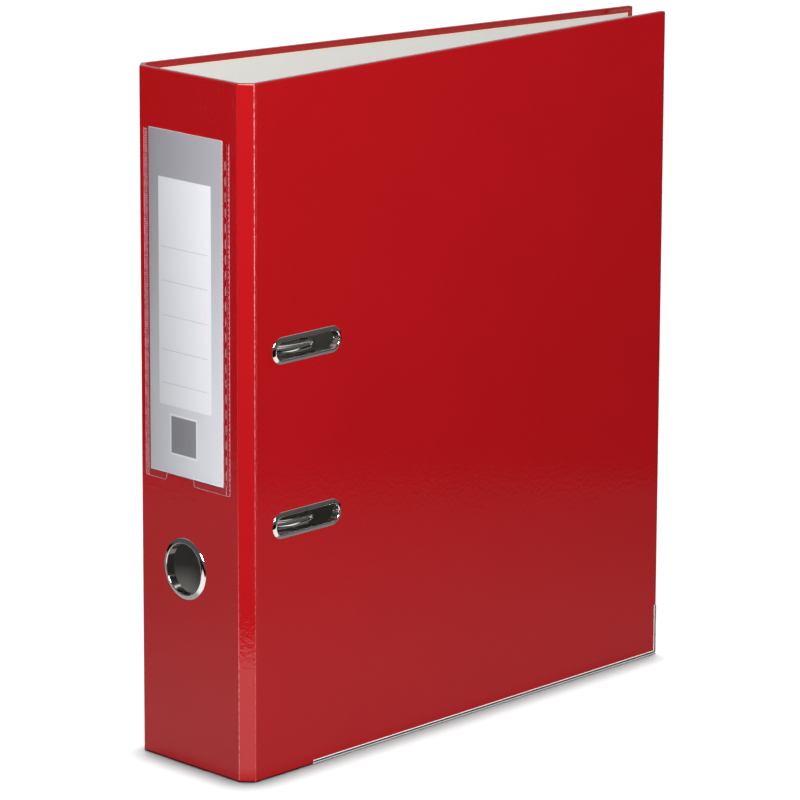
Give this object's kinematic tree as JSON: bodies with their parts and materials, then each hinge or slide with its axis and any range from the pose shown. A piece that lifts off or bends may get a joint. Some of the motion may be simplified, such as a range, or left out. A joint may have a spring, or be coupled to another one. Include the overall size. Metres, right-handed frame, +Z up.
{
  "type": "lever arch file",
  "caption": "A4 lever arch file: board case that folds open at creased hinges, spine label pocket, finger ring, riveted arch mechanism with lever and compressor bar.",
  "frame": {"origin": "on the floor, under the middle of the closed file's box", "axes": "+Z up along the file's height; the spine faces -Y; the front cover is on +X and the back cover, which carries the mechanism, on -X"},
  "size_m": [0.0768, 0.2902, 0.318],
  "materials": {
    "red_wrap": "glossy film-laminated printed paper, red",
    "grey_board": "raw grey board",
    "lining_paper": "uncoated light grey lining paper",
    "ring_chrome": "polished nickel-chrome plate on drawn steel",
    "guard_steel": "bright nickel-plated steel strip",
    "pocket_film": "clear film, welded along its edges",
    "label_card": "printed card, grey frame round a near-white panel",
    "plate_steel": "nickel-plated pressed steel",
    "wire_steel": "polished nickel-plated steel wire",
    "lever_steel": "nickel-plated pressed steel",
    "grip_plastic": "black moulded plastic",
    "bar_steel": "nickel-plated steel strip"
  },
  "bodies": {
    "spine": {"spine_board": "grey_board", "spine_wrap": "red_wrap", "spine_lining": "lining_paper", "finger_ring": "ring_chrome", "finger_ring_washer": "ring_chrome", "label_pocket": "pocket_film"},
    "label": {"label_card": "label_card"},
    "front_hinge": {"front_hinge_board": "grey_board", "front_hinge_wrap": "red_wrap", "front_hinge_lining": "lining_paper"},
    "front_cover": {"front_board": "grey_board", "front_wrap": "red_wrap", "front_lining": "lining_paper", "front_edge_guard": "guard_steel", "upper_slot_rim": "ring_chrome", "lower_slot_rim": "ring_chrome", "upper_slot_washer": "ring_chrome", "lower_slot_washer": "ring_chrome"},
    "back_hinge": {"back_hinge_board": "grey_board", "back_hinge_wrap": "red_wrap", "back_hinge_lining": "lining_paper"},
    "back_cover": {"back_board": "grey_board", "back_wrap": "red_wrap", "back_lining": "lining_paper", "back_edge_guard": "guard_steel", "base_plate": "plate_steel", "rivets": "plate_steel", "upper_post": "wire_steel", "lower_post": "wire_steel", "shaft_bearings": "plate_steel", "lever_bracket": "plate_steel", "lever_pin": "plate_steel"},
    "arches": {"arch_wire": "wire_steel"},
    "lever": {"lever_arm": "lever_steel", "lever_grip": "grip_plastic"},
    "compressor": {"compressor_bar": "bar_steel"}
  },
  "joints": [
    {"name": "label_slide", "type": "slide", "parent": "spine", "child": "label", "axis": [0, 0, 1], "range_m": [0, 0.165]},
    {"name": "front_hinge_fold", "type": "hinge", "parent": "spine", "child": "front_hinge", "pos_m": [0.033, -0.14408, 0.159], "axis": [0, 0, -1], "range_deg": [0, 45]},
    {"name": "front_cover_fold", "type": "hinge", "parent": "front_hinge", "child": "front_cover", "pos_m": [0.03837, -0.1387, 0.159], "axis": [0, 0, -1], "range_deg": [0, 50.3]},
    {"name": "back_hinge_fold", "type": "hinge", "parent": "spine", "child": "back_hinge", "pos_m": [-0.033, -0.14408, 0.159], "axis": [0, 0, 1], "range_deg": [0, 45]},
    {"name": "back_cover_fold", "type": "hinge", "parent": "back_hinge", "child": "back_cover", "pos_m": [-0.03837, -0.1387, 0.159], "axis": [0, 0, 1], "range_deg": [0, 50.3]},
    {"name": "arch_swing", "type": "hinge", "parent": "back_cover", "child": "arches", "pos_m": [-0.0288, -0.12754, 0.1547], "axis": [0, 0, -1], "range_deg": [0, 50]},
    {"name": "lever_lift", "type": "hinge", "parent": "back_cover", "child": "lever", "pos_m": [-0.02326, -0.1165, 0.126], "axis": [0.0924, 0.9957, 0], "range_deg": [0, 85]},
    {"name": "compressor_slide", "type": "slide", "parent": "back_cover", "child": "compressor", "axis": [0.9957, -0.0924, 0], "range_m": [0, 0.03]}
  ],
  "couplings": [
    {"joint": "front_cover_fold", "follows": "front_hinge_fold", "ratio": 1.1178},
    {"joint": "back_cover_fold", "follows": "back_hinge_fold", "ratio": 1.1178},
    {"joint": "arch_swing", "follows": "back_hinge_fold", "ratio": 1.1111},
    {"joint": "lever_lift", "follows": "back_hinge_fold", "ratio": 1.8889}
  ]
}
